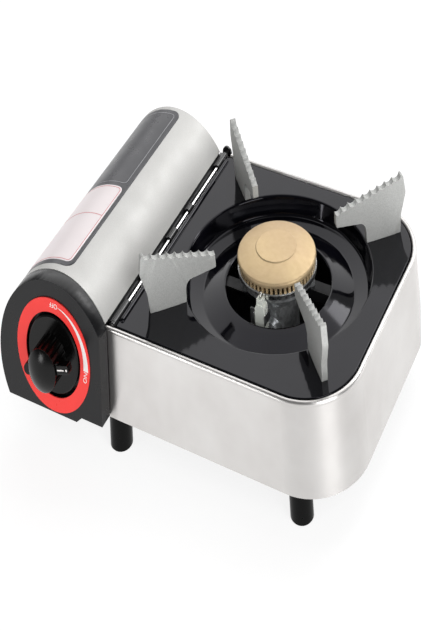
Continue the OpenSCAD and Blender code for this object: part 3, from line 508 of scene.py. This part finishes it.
def filled_film(name, box, r, lift, material):
    """A patch with round corners, wrapped on the cover."""
    s0, s1, y0, y1 = box
    quarter = [math.radians(90 * i / CORNER_STEPS) for i in range(CORNER_STEPS + 1)]
    corner_rows = [r * (1 - math.cos(a)) for a in quarter]
    rows = [y0 + d for d in corner_rows]
    rows += [y0 + r + (y1 - y0 - 2 * r) * i / ROWS for i in range(1, ROWS)]
    rows += [y1 - d for d in reversed(corner_rows)]
    points = []
    for y in rows:
        past = max(0.0, y0 + r - y, y - (y1 - r))
        inset = r - math.sqrt(max(0.0, r * r - past * past))
        width = s1 - s0 - 2 * inset
        points += [on_cover(s0 + inset + width * j / COLUMNS, y, lift) for j in range(COLUMNS + 1)]
    faces = []
    for i in range(len(rows) - 1):
        for j in range(COLUMNS):
            q = i * (COLUMNS + 1) + j
            faces.append((q, q + COLUMNS + 1, q + COLUMNS + 2, q + 1))
    film(name, points, faces, material, "cover")


filled_film("label", LABEL, LABEL_CORNER, GAP, LABEL_DARK)
outline_film("label_edge", DARK_PART, PANEL_CORNER, GREY_INSET, PANEL_LIFT, LABEL_GREY)
filled_film("label_panel", PANEL, PANEL_CORNER, PANEL_LIFT, LABEL_LIGHT)
outline_film("label_line", PANEL, PANEL_CORNER, RED_INSET, LINE_LIFT, LABEL_RED)
filled_film("label_divider", DIVIDER, DIVIDER_CORNER, LINE_LIFT, LABEL_RED)


# ---------- Marks on the dial and the knob ----------
# Angles round the dial are in degrees from its right-hand side, as seen from the front.
MARK_Y = DIAL_Y - MARK_GAP
WORD_SIZE = 4.6
OFF_ANGLE = 87
ON_ANGLE = -11


def on_dial(x, z, y):
    """A point given in mm from the knob's axis, to the right and up."""
    return place(BAY_X + x, y, KNOB_Z + z)


def on_wing(along, across, y):
    """A point on the thumb wing: along it from the knob's axis, and across it, in mm."""
    a = math.radians(WING_TURN)
    x = along * math.cos(a) - across * math.sin(a)
    z = along * math.sin(a) + across * math.cos(a)
    return on_dial(x, z, y)


def flat_mark(name, points, body):
    """A flat white mark that faces the front."""
    film(name, points, [tuple(range(len(points)))], WHITE_INK, body, smooth=False)


def dial_wedge():
    """Tapered band from OFF, where it is narrow, to ON."""
    start = 79
    sweep = 83
    narrow = 0.15  # half its width where it starts and where it ends
    wide = 2.25
    steps = 24
    outer = []
    inner = []
    for i in range(steps + 1):
        half = narrow + (wide - narrow) * i / steps
        angle = start - sweep * i / steps
        outer.append(polar(DIAL_R + half, angle))
        inner.append(polar(DIAL_R - half, angle))
    flat_mark("dial_wedge", [on_dial(x, z, MARK_Y) for x, z in outer + inner[::-1]], "stove")


def word(name, text, angle):
    """A short word on the dial, with its top towards the axis."""
    curve = bpy.data.curves.new(name, "FONT")
    curve.body = text
    curve.size = WORD_SIZE / 1000
    curve.align_x = "CENTER"
    curve.align_y = "CENTER"
    curve.extrude = MARK_GAP / 1000
    letters = add(name + "_curve", curve)
    graph = bpy.context.evaluated_depsgraph_get()
    mesh = bpy.data.meshes.new_from_object(letters.evaluated_get(graph))
    bpy.data.objects.remove(letters)
    upright = Matrix.Rotation(math.radians(90), 4, "X")
    turned = Matrix.Rotation(math.radians(270 - angle), 4, "Y")
    moved = Matrix.Translation(on_dial(*polar(DIAL_R, angle), MARK_Y))
    mesh.transform(moved @ turned @ upright)
    mesh.name = name
    mesh.materials.clear()
    mesh.materials.append(WHITE_INK)
    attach(add(name, mesh), "stove")


def knob_pointer():
    """The thin ear that carries the wing on to the dial, with round end corners."""
    root = 14  # its ends along the wing, from the knob's axis
    tip = 26
    half = 2.75  # half its width
    corner = 1.5
    steps = 6
    outline = [(root, -half)]
    for start, across in ((-90, corner - half), (0, half - corner)):
        for i in range(steps + 1):
            out, up = polar(corner, start + 90 * i / steps)
            outline.append((tip - corner + out, across + up))
    outline.append((root, half))
    n = len(outline)
    points = [on_wing(*point, y) for y in (WING_Y, WING_BACK_Y) for point in outline]
    front = tuple(range(n))
    back = tuple(range(2 * n - 1, n - 1, -1))
    mesh = bpy.data.meshes.new("knob_pointer")
    mesh.from_pydata(points, [], [front, back] + ring_faces(n))
    mesh.materials.append(KNOB_BLACK)
    pointer = add("knob_pointer", mesh)
    bevel_edges(pointer, width=0.4, sharp=40)
    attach(pointer, "dial")


def pointer_marks():
    """White line and dot on the pointer."""
    start = 15  # the line's ends and the dot's middle, along the wing
    end = 21.5
    middle = 24.2
    half = 0.4  # half the line's width
    dot_r = 0.8
    dot_points = 12
    line = [(start, -half), (end, -half), (end, half), (start, half)]
    dot = []
    for i in range(dot_points):
        out, up = polar(dot_r, 360 * i / dot_points)
        dot.append((middle + out, up))
    for name, outline in (("pointer_line", line), ("pointer_dot", dot)):
        flat_mark(name, [on_wing(*point, WING_Y - MARK_GAP) for point in outline], "dial")


dial_wedge()
word("dial_off", "OFF", OFF_ANGLE)
word("dial_on", "ON", ON_ANGLE)
knob_pointer()
pointer_marks()


# ---------- Floor ----------
FLOOR_HALF = 8  # metres
FLOOR_Z = -0.0003  # just below the feet


def make_floor():
    """A pale floor that glows a little, so that it is as white as the photograph's ground."""
    s = Shader("floor", (0.25, 0.25, 0.25), rough=0.9, Specular_IOR_Level=0.0,
               Emission_Strength=0.85, Emission_Color=(1, 1, 1, 1))
    s.colour(s.noise(3, detail=2), dark=(0.24, 0.24, 0.24), light=(0.26, 0.26, 0.26))
    sides = ((-1, -1), (1, -1), (1, 1), (-1, 1))
    mesh = bpy.data.meshes.new("floor")
    mesh.from_pydata([(FLOOR_HALF * x, FLOOR_HALF * y, FLOOR_Z) for x, y in sides], [], [(0, 1, 2, 3)])
    mesh.materials.append(s.mat)
    add("floor", mesh)


make_floor()
bpy.context.view_layer.update()
